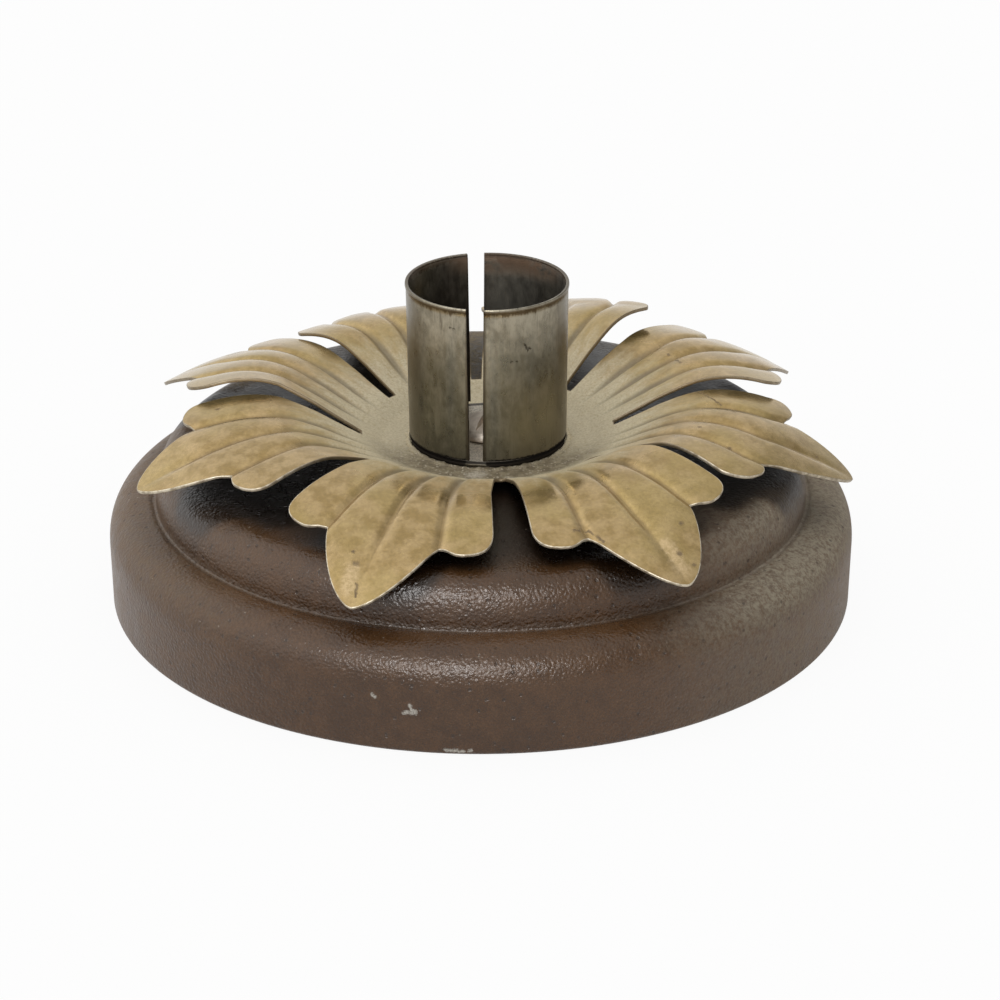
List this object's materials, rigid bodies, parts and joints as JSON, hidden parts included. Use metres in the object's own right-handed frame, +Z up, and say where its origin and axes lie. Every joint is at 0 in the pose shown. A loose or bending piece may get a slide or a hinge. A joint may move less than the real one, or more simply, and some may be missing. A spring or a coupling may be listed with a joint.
{
  "type": "taper candlestick",
  "caption": "Low candlestick: a turned wooden foot, a stamped leaf drip pan and a slit sheet-metal cup that grips one taper candle, held by a wood screw.",
  "frame": {"origin": "centre of the foot's underside", "axes": "+Z up along the foot's turning axis; -Y is the front, where one of the cup's slits faces; +X to the right"},
  "size_m": [0.1062, 0.1062, 0.0468],
  "materials": {
    "brown_paint": "dark brown satin paint over turned wood",
    "gold_paint": "aged gold paint on thin sheet",
    "antique_steel": "dark antique plating, streaked",
    "dull_steel": "dull steel"
  },
  "bodies": {
    "root": {"base": "brown_paint", "leaf_pan": "gold_paint", "candle_cup": "antique_steel", "cup_screw": "dull_steel"}
  },
  "joints": []
}
